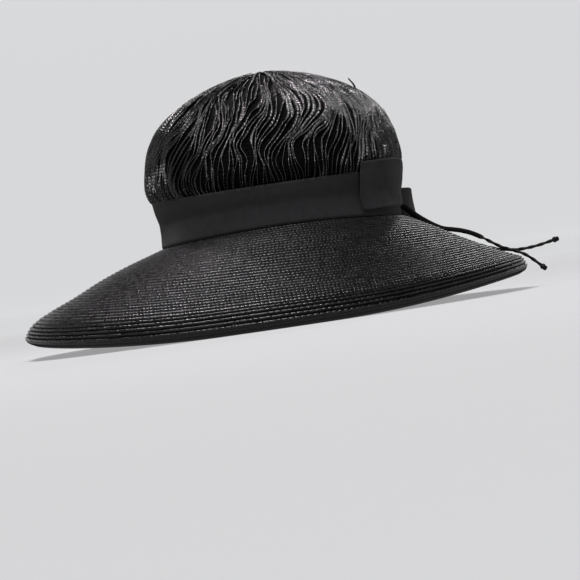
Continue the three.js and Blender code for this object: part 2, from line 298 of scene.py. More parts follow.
def cellNoise(tree, u, v):
    # three random values that stay the same over each plait
    cell = add(tree, "ShaderNodeCombineXYZ", [calc(tree, "FLOOR", u), calc(tree, "FLOOR", v)])
    noise = add(tree, "ShaderNodeTexWhiteNoise", [cell.outputs[0]], noise_dimensions="2D")
    parts = add(tree, "ShaderNodeSeparateColor", [noise.outputs["Color"]])
    return parts.outputs[0], parts.outputs[1], parts.outputs[2]


# straw, ribbon, netting and cord
strawFinish = {
    "sockets": {"IOR": 1.5, "Specular IOR Level": 0.31},
    "dark": (0.0015, 0.0014, 0.0015),
    "light": (0.009, 0.0085, 0.0092),
    "rough": 0.18,
    "roughSpread": 0.2,  # between plaits
    "gapRough": 0.5,  # more in the gaps between rows
    "hump": 0.2,  # how much each plait bulges
    "humpSpread": 0.5,
    "round": 2.6,  # power of the bulge, more is flatter on top
    "tiltAlong": 0.5,
    "tiltAcross": 1.5,
    "groove": 1.5,
    "chevron": 0.6,  # how far a plait's middle runs ahead of its sides
    "relief": 0.5,
}
plumeFinish = {
    "sockets": {"IOR": 1.5, "Specular IOR Level": 0.85},
    "dark": (0.001, 0.001, 0.0011),
    "light": (0.006, 0.006, 0.0064),
    "rough": 0.1,
    "roughSpread": 0.2,
    "gapRough": 0.0,
    "hump": 0.9,
    "humpSpread": 0.0,
    "round": 2.0,
    "tiltAlong": 1.0,
    "tiltAcross": 1.0,
    "groove": 0.0,
    "chevron": 1.2,
    "relief": 0.45,
}
# the crown's base and inside: its colour, darker than the straw, is painted shade, so the gaps between the
# braids read black
liningGapShadeFinish = {
    **plumeFinish,
    "sockets": {"IOR": 1.5, "Specular IOR Level": 0.05},
    "dark": (0.0008, 0.0008, 0.0009),
    "light": (0.002, 0.002, 0.0022),
    "rough": 0.8,
    "roughSpread": 0.1,
    "hump": 0.4,
    "tiltAlong": 0.2,
    "tiltAcross": 0.2,
    "groove": 0.4,
    "chevron": 0.0,
    "relief": 0.3,
}
ribbonFinish = {
    "sockets": {"Roughness": 0.85, "Specular IOR Level": 0.12, "Sheen Weight": 0.06, "Sheen Roughness": 0.4},
    "dark": (0.017, 0.017, 0.0182),
    "light": (0.029, 0.029, 0.0309),
    "ribs": 1.0,
    "mottle": 160.0,
    "mottleDetail": 4.0,
    "bump": 0.8,
    "relief": 0.12,
}
nettingFinish = {
    "sockets": {"Roughness": 0.6, "Specular IOR Level": 0.3},
    "dark": (0.004, 0.0038, 0.004),
    "light": (0.022, 0.021, 0.022),
    "bump": 0.9,
    "relief": 0.3,
}
cordFinish = {
    "sockets": {"Roughness": 0.6, "Specular IOR Level": 0.15},
    "dark": (0.002, 0.0019, 0.002),
    "light": (0.006, 0.0055, 0.006),
    "bump": 0.9,
    "relief": 0.15,
}


def strawMaterial(name, finish):
    # plaited straw: every plait along a row has its own tilt, shade and gloss
    material, tree, shader = newMaterial(name, finish["sockets"])
    u, v = strandPlace(tree)
    one, two, three = cellNoise(tree, u, v)
    along = calc(tree, "FRACT", u)
    across = calc(tree, "FRACT", v)
    fold = calc(tree, "ABSOLUTE", calc(tree, "SUBTRACT", across, 0.5))
    slant = calc(tree, "FRACT", calc(tree, "ADD", u, calc(tree, "MULTIPLY", fold, finish["chevron"])))
    middle = calc(tree, "ABSOLUTE", calc(tree, "MULTIPLY_ADD", slant, 2.0, -1.0))
    hump = calc(tree, "SUBTRACT", 1.0, calc(tree, "POWER", middle, finish["round"]))
    humpHigh = calc(tree, "MULTIPLY_ADD", one, finish["humpSpread"], finish["hump"])
    tiltAlong = calc(tree, "MULTIPLY", calc(tree, "SUBTRACT", three, 0.5), along)
    tiltAcross = calc(tree, "MULTIPLY", calc(tree, "SUBTRACT", two, 0.5), across)
    edge = calc(tree, "POWER", calc(tree, "MULTIPLY", fold, 2.0), 3.0)
    height = calc(tree, "MULTIPLY", hump, humpHigh)
    height = calc(tree, "MULTIPLY_ADD", tiltAlong, finish["tiltAlong"], height)
    height = calc(tree, "MULTIPLY_ADD", tiltAcross, finish["tiltAcross"], height)
    height = calc(tree, "MULTIPLY_ADD", edge, -finish["groove"], height)
    bumpInto(tree, shader, height, 1.0, finish["relief"])
    colourInto(tree, shader, three, finish["dark"], finish["light"])
    rough = calc(tree, "MULTIPLY_ADD", two, finish["roughSpread"], finish["rough"])
    rough = calc(tree, "MULTIPLY_ADD", edge, finish["gapRough"], rough)
    tree.links.new(rough, shader.inputs["Roughness"])
    return material


def wovenMaterial(name, finish, weave):
    # weave gives the threads' height and the share of the light colour
    material, tree, shader = newMaterial(name, finish["sockets"])
    height, shade = weave(tree, finish, *strandPlace(tree))
    bumpInto(tree, shader, height, finish["bump"], finish["relief"])
    colourInto(tree, shader, shade, finish["dark"], finish["light"])
    return material


def ribbonWeave(tree, finish, u, v):
    # fine ribs across the ribbon, and a faint mottle
    place = add(tree, "ShaderNodeTexCoord").outputs["Object"]
    mottle = noiseAt(tree, place, finish["mottle"])
    mottle.inputs["Detail"].default_value = finish["mottleDetail"]
    ribs = calc(tree, "MULTIPLY", wave(tree, u), finish["ribs"])
    return calc(tree, "ADD", ribs, mottle.outputs[0]), mottle.outputs[0]


def nettingWeave(tree, finish, u, v):
    crossing = calc(tree, "MULTIPLY", wave(tree, u), wave(tree, v))
    knots = calc(tree, "MULTIPLY_ADD", crossing, 0.5, 0.5)
    return knots, knots


def cordTwist(tree, finish, u, v):
    twist = wave(tree, calc(tree, "ADD", u, v))
    return twist, calc(tree, "MULTIPLY_ADD", twist, 0.5, 0.5)


strawMat = strawMaterial("sewnStraw", strawFinish)
plumeMat = strawMaterial("gatheredStraw", plumeFinish)
liningGapShadeMat = strawMaterial("liningGapShade", liningGapShadeFinish)
ribbonMat = wovenMaterial("mattRibbon", ribbonFinish, ribbonWeave)
nettingMat = wovenMaterial("hemNetting", nettingFinish, nettingWeave)
cordMat = wovenMaterial("twistedTie", cordFinish, cordTwist)
print("materials ready")


# ties
tieShape = {
    "width": 2.4,
    "flatUntil": (66.0, 20.0),  # where each tie starts to twist
    "flatSize": (3.6, 1.3),
    "twistedSize": (2.7, 2.0),
    "twistPitch": 15.0,  # length of one whole turn
    "tightenOver": 8.0,
    "strandLength": 1.6,
    "strands": 3,
    "sides": 12,
    "stepsPerSpan": 6,
}
tieKnotShape = {
    "length": 6.0,
    "width": 4.4,
    "overlap": 0.4,
    "fullness": 0.94,
    "roundness": 2.6,
    "wraps": [(0.13, 2, 5.5), (0.05, 5, -7)],  # size, number round the knot, turn along it
    "sides": 32,
    "rings": 23,
}
tieRoutes = [
    [
        (105, 17.4, 76), (108.2, 17, 73.6), (112.4, 16.4, 69.6), (117, 15.6, 65.4), (122, 14.8, 61.4),
        (128, 14.1, 57.2), (134, 13.4, 54), (141, 12.8, 52.2), (148, 12, 50.2), (155, 11, 47.2),
        (162, 9.8, 43), (169, 8.2, 38), (176, 6.2, 33.4), (183, 4, 30.2), (189, 2, 27.4),
        (194, 0.4, 24), (198.6, -1, 19.8), (202.6, -2.2, 15.8),
    ],
    [
        (104.6, 21.2, 76), (107.8, 21.8, 73.4), (112, 22.6, 68.8), (117, 23.6, 64), (122, 24.8, 59.8),
        (128, 26.2, 55.8), (134, 27.8, 52), (141, 29.4, 48), (148, 30.6, 44.2), (155, 31.6, 40.5),
        (162, 32.2, 37), (169, 32.2, 34), (176, 31.6, 31.8), (183, 30.8, 30.4), (190, 29.8, 29.8),
        (197, 28.8, 29.9), (204, 28, 30.6), (210, 27.4, 31.6), (216, 26.8, 32.8),
    ],
]


def sweep(line, halfWide, halfThick, turns, sides):
    # oval rings along a line, each turned about it
    along = unit(np.gradient(line, axis=0))
    side = np.array([0, 0, 1.0])
    around = roundAngles(sides)
    rings = []
    for k, (point, heading) in enumerate(zip(line, along)):
        side = unit(side - heading * np.dot(side, heading))
        top = np.cross(side, heading)
        a = halfWide[k] * np.cos(around)
        b = halfThick[k] * np.sin(around)
        c, s = math.cos(turns[k]), math.sin(turns[k])
        rings.append(point + np.outer(a * c - b * s, side) + np.outer(a * s + b * c, top))
    return np.array(rings)


def makeTie(number, route):
    shape = tieShape
    sides = shape["sides"]
    line = throughPoints(route, shape["stepsPerSpan"], False)
    run = runAlong(line)
    twisting = np.clip(run - shape["flatUntil"][number - 1], 0, None)
    turns = fullTurn * twisting / shape["twistPitch"]
    tight = np.clip(twisting / shape["tightenOver"], 0, 1)
    sizes = zip(shape["flatSize"], shape["twistedSize"])
    halfWide, halfThick = ((flat + (twisted - flat) * tight) / 2 for flat, twisted in sizes)
    rings = sweep(line, halfWide, halfThick, turns, sides)
    tie = makeSkin(
        f"tie{number}", rings, cordMat,
        lambda i, k: run[i] / shape["strandLength"],
        lambda i, k: k / sides * shape["strands"],
        line[[0, -1]],
    )
    return tie, line, run[-1]


def makeTieKnot(number, route):
    shape = tieKnotShape
    sides = shape["sides"]
    halfLength = shape["length"] / 2
    end = np.array(route[-1], float)
    heading = unit(end - np.array(route[-2], float))
    centre = end + heading * (halfLength - shape["overlap"])
    side = unit(np.cross(heading, [0, 0, 1]))
    top = np.cross(side, heading)
    around = roundAngles(sides)
    rings = []
    for level in np.linspace(-1, 1, shape["rings"] + 2)[1:-1]:
        wrap = 1.0
        for size, times, wind in shape["wraps"]:
            wrap = wrap + size * np.sin(times * around + wind * level)
        dome = (1 - abs(level) ** shape["roundness"]) ** 0.5
        radius = shape["width"] / 2 * shape["fullness"] * dome * wrap
        rings.append(
            centre + heading * level * halfLength
            + np.outer(radius * np.cos(around), side) + np.outer(radius * np.sin(around), top)
        )
    poles = [centre - heading * halfLength, centre + heading * halfLength]
    return makeSkin(
        f"tieKnot{number}", rings, cordMat, lambda i, k: i / 6, lambda i, k: k / sides * 4, poles
    )


for number, route in enumerate(tieRoutes, 1):
    tie, line, length = makeTie(number, route)
    tieKnot = makeTieKnot(number, route)
    dress(tie, "tie_cord", f"tie_tail_{number}")
    dress(tieKnot, "tie_cord", f"tie_tip_{number}")
    print(f"tie {number}: {length:.1f} mm long")


# the crown's and the brim's forms, the same as in the solids
form = {
    "brimHalfWidth": 192.0,
    "brimHalfDepth": 190.0,
    "sideLift": 12.0,  # how far the brim's sides rise off the floor
    "restHalfAngle": 12.0,
    "roundness": 2.2,
    "bluntness": 0.35,
    "bluntTurn": 40.0,
    "seamHeight": 73.0,
    "seamDip": 4.6,
    "hemDrop": 4.6,
    "crownBase": 73.3,
    "crownOffset": 11.5,
    "crownHalfWidth": 97.7,
    "crownDepthRatio": 1.085,
    "crownHeight": 118.2,
    "crownWall": 3.0,
    "bandWidth": 31.0,
    "bandThickness": 1.3,
    "clearance": 0.3,
}
brimShares = [0, 0.1, 0.25, 0.45, 0.65, 0.82, 0.92, 0.975, 1]
brimLeft = smoothCurve(brimShares, [0, 0.065, 0.165, 0.325, 0.52, 0.67, 0.785, 0.9, 1])
brimRight = smoothCurve(brimShares, [0, 0.085, 0.22, 0.42, 0.6, 0.745, 0.825, 0.895, 1])
crownRows = [  # share of the crown's height, share of its half width
    (0, 0.928), (0.075, 0.918), (0.135, 0.918), (0.2, 0.942), (0.255, 0.955), (0.29, 0.984), (0.36, 1),
    (0.46, 0.982), (0.56, 0.952), (0.65, 0.9), (0.73, 0.824), (0.81, 0.71), (0.88, 0.56), (0.94, 0.38),
    (0.98, 0.19), (1, 0),
]


def rimRadius(angle):
    power = form["roundness"] - form["bluntness"] * np.sin(angle + form["bluntTurn"] * degree)
    across = np.abs(np.sin(angle) / form["brimHalfWidth"]) ** power
    along = np.abs(np.cos(angle) / form["brimHalfDepth"]) ** power
    return (across + along) ** (-1 / power)


def footHeight(angle):
    flat = math.sin(form["restHalfAngle"] * degree)
    return form["sideLift"] * (np.maximum(0, np.abs(np.sin(angle)) - flat) / (1 - flat)) ** 2


def rimHeight(angle):
    return footHeight(angle) + form["hemDrop"]


def dipAt(angle):
    return form["seamDip"] * np.sin(angle) ** 2


def levelHeight(angle, rise):
    return form["crownBase"] + rise - dipAt(angle) * np.maximum(0, 1 - rise / form["bandWidth"])


def ovalPoint(angle, halfWidth, height, proud=0.0):
    # a point on the crown's oval, moved proud of it
    angle, halfWidth, height, proud = np.broadcast_arrays(angle, halfWidth, height, proud)
    halfDepth = halfWidth * form["crownDepthRatio"]
    x = halfWidth * np.sin(angle)
    y = -halfDepth * np.cos(angle)
    nx = np.sin(angle) * halfDepth
    ny = -np.cos(angle) * halfWidth
    long = np.maximum(np.hypot(nx, ny), 1e-9)
    return np.stack([form["crownOffset"] + x + proud * nx / long, y + proud * ny / long, height], -1)


def planPoint(angle, radius, height):
    angle, radius, height = np.broadcast_arrays(angle, radius, height)
    return np.stack([radius * np.sin(angle), -radius * np.cos(angle), height], -1)


seamHalfWidth = form["crownHalfWidth"] * crownRows[0][1]


def brimLine(angle):
    # the brim's line outwards at an angle: its seam, flat length, heading and fall
    outside = seamHalfWidth + form["bandThickness"] + form["clearance"]
    seam = ovalPoint(angle, outside, form["seamHeight"] - dipAt(angle))
    rim = planPoint(angle, rimRadius(angle), rimHeight(angle))
    flatWay = rim - seam
    flatWay[..., 2] = 0
    run = np.linalg.norm(flatWay, axis=-1)
    return seam, run, unit(flatWay), seam[..., 2] - rim[..., 2]


def brimPoint(angle, share, offset):
    # a point on the brim's upper line, moved off it along its own normal
    seam, run, heading, fall = brimLine(angle)
    right = (1 + np.sin(angle)) / 2

    def down(s):
        left = brimLeft(s)
        return fall * (left + (brimRight(s) - left) * right)

    reach = 0.012
    low = np.maximum(0, share - reach)
    high = np.minimum(1, share + reach)
    outStep = run * (high - low)
    upStep = -(down(high) - down(low))
    long = np.hypot(outStep, upStep)
    out = run * share - upStep / long * offset
    up = seam[..., 2] - down(share) + outStep / long * offset
    point = seam + heading * out[..., None]
    point[..., 2] = up
    return point


def crownWide(rise):
    return form["crownHalfWidth"] * np.interp(np.maximum(rise, 0) / form["crownHeight"], *zip(*crownRows))


# brim
brimMake = {
    "stations": 360,
    "plainRows": 30,
    "edgeRows": 5,
    "edgeStart": 0.875,  # share of the brim's length where the corded edge rows start
    "plaitLength": 3.0,
    "edgePlaitLength": 4.6,
    "rowRelief": 0.62,
    "edgeRelief": 0.95,
    "thickness": 2.0,
    "meanRun": 98.0,  # from the seam to the rim, for spacing the rows
    "meanFall": 62.0,
    "cellStart": 10.26,  # place of a row in the straw's cells
    "cellWidth": 0.72,
    "seed": 5,
    "draws": 200,  # of the rows' plaits along the row, one for every row
    "firstDraw": 20,
}
plainProfile = [(0.0, -0.75), (0.1, 0.2), (0.4, 0.7), (0.68, 0.85), (0.9, 0.45)]  # place in the row, height
cordProfile = [(0.0, -0.9), (0.14, 0.1), (0.34, 0.85), (0.55, 1.0), (0.76, 0.7), (0.92, -0.1)]
rimProfile = [(1.004, -0.3, 0.0, 0.35), (1.007, -1.1, 0.35, 0.7), (1.004, -1.9, 0.7, 1.0)]
undersideProfile = [(0.75, -0.2, 0.0), (0.0, 0.25, -0.25)]


def shareAlong(length):
    # the flat share where a share of the brim's own length is reached
    shares = np.linspace(0, 1, 200)
    down = (brimLeft(shares) + brimRight(shares)) / 2 * brimMake["meanFall"]
    steps = np.hypot(np.diff(shares) * brimMake["meanRun"], np.diff(down))
    run = np.concatenate([[0], np.cumsum(steps)])
    return float(np.interp(length, run / run[-1], shares))


def brimRings():
    # the rings of the brim's skin, out over the top and back below: share, height off the brim's line,
    # row, and the places in the row where the ring's face starts and ends
    make = brimMake
    plainRows, edgeRows, edgeStart = make["plainRows"], make["edgeRows"], make["edgeStart"]
    rowCount = plainRows + edgeRows
    rings = []
    for row in range(rowCount):
        if row < plainRows:
            profile, relief = plainProfile, make["rowRelief"]
            start, first, width = 0, 0, edgeStart / plainRows
        else:
            profile, relief = cordProfile, make["edgeRelief"]
            start, first, width = edgeStart, plainRows, (1 - edgeStart) / edgeRows
        ends = [part for part, _ in profile[1:]] + [1.0]
        for (part, high), end in zip(profile, ends):
            share = shareAlong(start + (row - first + part) * width)
            rings.append((share, high * relief, row, part, end))
    for share, high, part, end in rimProfile:
        rings.append((share, high, rowCount, part, end))
    for row in reversed(range(rowCount)):
        for part, high, end in undersideProfile:
            share = shareAlong((row + part) / rowCount)
            rings.append((share, high - make["thickness"], rowCount + 1 + row, part, end))
    return rings


def makeBrim():
    make = brimMake
    stations = make["stations"]
    angles = roundAngles(stations)
    rings = brimRings()
    lines = [brimPoint(angles, np.full_like(angles, ring[0]), ring[1]) for ring in rings]
    # the way in under the band
    innerHalfWidth = seamHalfWidth - form["crownWall"] - make["thickness"]
    inner = ovalPoint(angles, innerHalfWidth, form["seamHeight"] - dipAt(angles))
    lines += [inner - [0, 0, make["thickness"]], inner]
    rings += [(0, 0, -3, 0.0, 1.0), (0, 0, -2, 0.0, 1.0)]
    grid = np.stack(lines, 1)
    quads, ii, kk = gridFaces(stations, len(rings), True, True)
    rowOf, startOf, endOf = (np.array(values) for values in list(zip(*rings))[2:])
    lengths = np.linalg.norm(np.roll(grid, -1, 0) - grid, axis=-1).sum(0)
    corded = (rowOf >= make["plainRows"]) & (rowOf <= make["plainRows"] + make["edgeRows"])
    counts = np.round(lengths / np.where(corded, make["edgePlaitLength"], make["plaitLength"]))
    counts = np.array([counts[np.argmax(rowOf == row)] for row in rowOf])
    shift = np.random.default_rng(make["seed"]).uniform(0, 1, make["draws"])[rowOf + make["firstDraw"]]

    def uOf(i, k, di, dk):
        return (i + di) / stations * counts[k] + shift[k]

    def vOf(i, k, di, dk):
        return rowOf[k] + make["cellStart"] + make["cellWidth"] * (endOf[k] if dk else startOf[k])

    uvs = gridUvs(ii, kk, uOf, vOf)
    return makeMesh("brimStraw", grid, quads, strawMat, uvs=uvs)


dress(makeBrim(), "straw_braid", "brim")
print("brim made")


# hem strip
hemMake = {
    "stations": 360,
    "levels": 7,
    "inset": 5.4,
    "curve": 1.3,
    "thickness": 1.8,
    "footRound": 0.25,
    "tuck": 0.9,  # how far it reaches up under the rim
    "length": 1180,  # round the rim
    "mesh": 0.9,
    "stitch": 3.2,
    "stitchShares": (0.3, 0.62),
    "stitchProud": 0.1,
    "thread": 0.28,
}


def hemPoint(angle, share, depth):
    # share 0 at the rim and 1 at the foot; depth goes in through the strip
    radius = rimRadius(angle) - hemMake["inset"] * share ** hemMake["curve"] - depth
    top = rimHeight(angle) - form["clearance"]
    return planPoint(angle, radius, top + (footHeight(angle) - top) * share)


def makeHem():
    make = hemMake
    stations = make["stations"]
    angles = roundAngles(stations)
    down = np.linspace(0, 1, make["levels"])
    outside = [hemPoint(angles, s, make["footRound"] if s == 1 else 0.0) for s in down]
    inside = [hemPoint(angles, s, make["thickness"]) for s in down[::-1]]
    outside[0] = outside[0] + [0, 0, make["tuck"]]
    inside[-1] = inside[-1] + [0, 0, make["tuck"]]
    grid = np.stack(outside + inside, 1)
    count = round(make["length"] / make["mesh"])
    return makeSkin("hemNetting", grid, nettingMat, lambda i, k: i / stations * count, lambda i, k: k)


def makeHemStitches():
    # one zigzag thread all the way round the strip's outer face
    make = hemMake
    count = round(make["length"] / make["stitch"]) * 2
    angles = roundAngles(count)
    high, low = make["stitchShares"]
    line = hemPoint(angles, np.where(np.arange(count) % 2, high, low), -make["stitchProud"])
    outward = planPoint(angles, 1.0, 0.0)
    up = np.array([0, 0, 1.0])
    rings = []
    for part in range(4):
        turn = (part + 0.5) * math.pi / 2
        rings.append(line + make["thread"] * (outward * math.cos(turn) + up * math.sin(turn)))
    return makeSkin("hemStitches", np.stack(rings, 1), cordMat, lambda i, k: i, lambda i, k: k / 4)


dress(makeHem(), "hem_netting", "hem_strip")
dress(makeHemStitches(), "hem_netting")
print("hem made")


# crown
crownMake = {
    "outlineSteps": 24,
    "outlinePoints": 600,
    "baseStations": 128,
    "baseRings": 44,
    "baseEnd": 0.985,
    "baseDepth": 1.3,  # how far the base, dark with painted shade, lies below the braids' outline
    "crestStart": 0.9,  # where the base starts to rise to close the top
    "crestRise": 1.6,
    "swayToBow": 0.25,
    "gatherStart": 0.27,  # share of the crown's height at the band's upper edge
    "fadeOver": 0.25,
    "lockSway": 0.85,
}
braidMake = {
    "count": 200,
    "stepLength": 1.15,
    "startRise": 31.2,
    "ends": (0.925, 0.745, 0.85, 0.745, 0.998, 0.745, 0.85, 0.745),  # shares of the outline, in turn
    "endSpread": 0.025,
    "jitter": 0.18,
    "wander": [(0.45, 7, 13), (0.16, 2.4, 3.6)],  # size in degrees, shortest and longest wave
    "lean": (-12, 18),  # the range that each braid's own lean is drawn from
    "flatLean": 46,
    "waveLean": 9,
    "waveLeanLength": 9,
    "lockLean": 14,
    "height": 3.3,
    "heightSpread": (0.84, 1.08),
    "standHeight": 0.86,
    "flatHeight": 0.24,  # added where a braid lies over
    "taperSteps": 5,
    "tip": 0.12,
    "halfThick": 0.3,
    "plaitThick": 0.3,
    "plaitHigh": 0.16,
    "footThick": 0.45,  # thin where they tuck in at the band
    "growThick": 0.55,
    "growOver": 0.28,
    "section": [(0.0, 0.7), (0.5, 0.75), (0.84, 1.35)],  # level, share of the thickness
    "bend": 0.45,
    "bendLength": 2.9,
    "bendShare": 0.4,
    "root": 1.7,  # how far the braids' feet lie inside the crown's outline
    "plait": 2.3,
    "seed": 11,
    "perObject": 50,
}
sway = smoothCurve(
    [0, 0.27, 0.42, 0.5, 0.6, 0.7, 0.78, 0.88, 1], [0, 0, 1.0, 2.5, 7.0, 12.0, 13.0, 10.5, 14.0]
)
swayWaves = [(2.9, 5, 8.5, 0.6), (1.7, 9, -12, 2.1), (0.9, 15, 17, 4.4)]
lockWaves = [(1.0, 28, 10, 1.0), (0.6, 41, -15, 3.0)]
flatPatches = [  # where the braids lie over on their sides: angle, height share, width, height, amount
    (-32, 0.72, 15, 0.14, 0.9), (-14, 0.66, 11, 0.14, 1.0), (3, 0.76, 11, 0.17, 1.0),
    (16, 0.68, 11, 0.15, 1.0), (33, 0.72, 10, 0.14, 0.9), (-55, 0.82, 12, 0.1, 0.7),
    (58, 0.75, 10, 0.12, 0.7), (95, 0.7, 14, 0.14, 0.8), (128, 0.78, 12, 0.14, 0.9),
    (155, 0.66, 14, 0.14, 0.9), (184, 0.74, 12, 0.16, 1.0), (212, 0.68, 13, 0.15, 0.9),
    (240, 0.76, 12, 0.14, 0.9), (268, 0.7, 14, 0.14, 0.8),
]
flatBelt = {"level": 0.72, "height": 0.16, "amount": 0.15}  # a little of it all the way round


def crownOutline():
    # half width and rise along the crown's outline, evenly spaced from the base to the top
    steps = crownMake["outlineSteps"]
    points = [(wide * form["crownHalfWidth"], up * form["crownHeight"], 0) for up, wide in crownRows]
    points = np.array(points)
    mirrored = np.array([[-points[-2][0], points[-2][1], 0]])
    line = throughPoints(np.concatenate([points, mirrored]), steps, False)
    return evenly(line[: (len(points) - 1) * steps + 1], crownMake["outlinePoints"])


outline, outlineLength = crownOutline()
outlineSlope = unit(np.gradient(outline, axis=0))


def onCrown(angle, share, depth):
    # a point at an angle and a share of the way up the outline, depth outside it
    place = share * (len(outline) - 1)
    places = np.arange(len(outline))
    wide, rise = (np.interp(place, places, outline[:, a]) for a in range(2))
    alongOut, alongUp = (np.interp(place, places, outlineSlope[:, a]) for a in range(2))
    point = ovalPoint(angle, np.maximum(wide, 0.01), levelHeight(angle, rise), depth * alongUp)
    point[..., 2] -= depth * alongOut
    return point


def makeCrownBase():
    make = crownMake
    angles = roundAngles(make["baseStations"])
    shares = np.linspace(0, make["baseEnd"], make["baseRings"])
    outside = []
    for share in shares:
        crest = max(0.0, (share - make["crestStart"]) / 0.1)
        outside.append(onCrown(angles, share, -make["baseDepth"] + make["crestRise"] * crest))
    inside = [onCrown(angles, share, -form["crownWall"]) for share in shares[::-1]]
    topZ = form["crownBase"] + form["crownHeight"]
    poles = [(form["crownOffset"], 0, topZ - form["crownWall"]), (form["crownOffset"], 0, topZ + 0.3)]
    # the base's dark colour is painted shade in the gaps between the braids
    return makeSkin("crownBase", inside + outside, liningGapShadeMat, lambda i, k: i * 1.2, lambda i, k: k, poles)


def clumps(angle, upShare):
    # neighbours draw together into locks with dark gaps between them
    return waveSum(lockWaves, angle, upShare)


def swayAt(angle, upShare):
    # the gathers lean together, more on the bow's side, with slow waves round the crown
    make = crownMake
    lean = sway(upShare) * (1 + make["swayToBow"] * np.sin(angle))
    fade = np.clip((upShare - make["gatherStart"]) / make["fadeOver"], 0, 1)
    waves = waveSum(swayWaves, angle, upShare) + make["lockSway"] * clumps(angle, upShare)
    return (lean + waves * fade) * degree


def flatness(angle, upShare):
    belt = flatBelt
    total = belt["amount"] * np.exp(-(((upShare - belt["level"]) / belt["height"]) ** 2))
    for middle, level, width, height, amount in flatPatches:
        off = (np.degrees(angle) - middle + 180) % 360 - 180
        total += amount * np.exp(-((off / width) ** 2) - ((upShare - level) / height) ** 2)
    return np.clip(total, 0, 1)


def braidRings(number, rng):
    # one braid from the band up: three points on each side of it and the crest between them
    make = braidMake

    def anyPhase():
        return rng.uniform(0, 6.28)

    places = np.linspace(0, 1, len(outline))
    rise = outline[:, 1]
    start = np.interp(make["startRise"], rise, places)
    end = make["ends"][number % len(make["ends"])] + rng.uniform(-make["endSpread"], 0.0)
    base = fullTurn * (number + rng.uniform(-make["jitter"], make["jitter"])) / make["count"]
    count = int((end - start) * outlineLength / make["stepLength"])
    share = np.linspace(start, end, count)
    upShare = np.interp(share, places, rise) / form["crownHeight"]
    step = np.arange(count)
    run = step * make["stepLength"]
    wander = np.zeros(count)
    for size, shortest, longest in make["wander"]:
        wander += size * np.sin(run / rng.uniform(shortest, longest) + anyPhase())
    angle = base + swayAt(base, upShare) + wander * degree
    flat = flatness(angle, upShare)
    lean = rng.uniform(*make["lean"]) + make["flatLean"] * flat
    lean = lean + make["waveLean"] * np.sin(run / make["waveLeanLength"] + anyPhase())
    lean = (lean + make["lockLean"] * clumps(angle, upShare)) * degree
    taper = np.clip((count - 1 - step) / make["taperSteps"], make["tip"], 1)
    high = make["height"] * rng.uniform(*make["heightSpread"]) * taper
    high = high * (make["standHeight"] + make["flatHeight"] * flat)
    plait = np.sin(fullTurn * step * make["stepLength"] / make["plait"] + anyPhase())
    high = high + make["plaitHigh"] * plait * taper
    thick = make["halfThick"] * (1 + make["plaitThick"] * plait) * np.clip(taper * 1.5, 0.3, 1)
    grown = np.clip((upShare - crownMake["gatherStart"]) / make["growOver"], 0, 1)
    thick = thick * (make["footThick"] + make["growThick"] * grown)
    foot = onCrown(angle, share, -make["root"])
    normal = unit(onCrown(angle, share, 1.0) - foot)
    along = unit(np.gradient(foot, axis=0))
    side = unit(np.cross(along, normal))
    bend = make["bend"] * np.sin(run / make["bendLength"] + anyPhase())
    grow = normal * np.cos(lean)[:, None] + side * np.sin(lean)[:, None]
    across = side * np.cos(lean)[:, None] - normal * np.sin(lean)[:, None]
    left, right = [], []
    for level, wide in make["section"]:
        bent = (bend * make["bendShare"] * level)[:, None]
        middle = foot + grow * (high * level)[:, None] + across * bent
        out = across * (thick * wide)[:, None]
        left.append(middle - out)
        right.append(middle + out)
    crest = foot + grow * high[:, None] + across * (bend * make["bendShare"])[:, None]
    return np.stack(left + [crest] + right[::-1], 1)


def joinBraids(name, batch, last):
    # one mesh of many braids; both sides of each braid are rows of plaits of their own
    make = braidMake
    levels = [level for level, _ in make["section"]]
    heights = np.array(levels + [1.0] + levels[::-1])
    crest = len(levels)
    points, quads, uvs, tips = [], [], [], []
    start = 0
    for number, grid in enumerate(batch):
        count, size = grid.shape[:2]
        faces, ii, kk = gridFaces(count, size, False, True)
        row = last * 3 + number * 2
        plaits = np.arange(count) * make["stepLength"] / make["plait"]
        sideOf = (kk >= crest).astype(float)
        faceUvs = gridUvs(
            ii, kk,
            lambda i, k, di, dk: plaits[i + di],
            lambda i, k, di, dk: row + sideOf + 0.02 + 0.96 * heights[(k + dk) % size],
        )
        # each end is closed by two quads and a small triangle at the crest
        for at in (0, count - 1):
            ends = at * size + np.array([[0, 1, 5, 6], [1, 2, 4, 5]])
            faces = np.concatenate([faces, ends if at else ends[:, ::-1]])
            faceUvs = np.concatenate([faceUvs, np.full((2, 4, 2), row + 0.5)])
        first = start + crest
        final = start + (count - 1) * size + crest
        tips += [[first + 1, first, first - 1], [final - 1, final, final + 1]]
        points.append(grid.reshape(-1, 3))
        quads.append(faces + start)
        uvs.append(faceUvs)
        start += count * size
    points, quads, uvs = (np.concatenate(parts) for parts in (points, quads, uvs))
    return makeMesh(name, points, quads, plumeMat, np.array(tips), uvs)


def makeBraids():
    make = braidMake
    rng = np.random.default_rng(make["seed"])
    pieces = []
    batch = []
    for number in range(make["count"]):
        batch.append(braidRings(number, rng))
        if len(batch) == make["perObject"] or number == make["count"] - 1:
            pieces.append(joinBraids(f"crownBraids{len(pieces) + 1}", batch, number))
            batch = []
    return pieces


dress(makeCrownBase(), "gathered_straw", "crown")
for piece in makeBraids():
    dress(piece, "gathered_straw", "crown")
print("crown made")


# a loose straw end on the crown's shoulder
strawEnd = {
    "path": [(79.5, -18, 165.5), (81.5, -18.6, 168.5), (80.6, -19, 172), (77.6, -19.4, 176.5)],
    "radius": 1.0,
    "flatness": 0.6,
    "turn": 1.2,  # radians from end to end
    "sides": 10,
    "stepsPerSpan": 5,
}


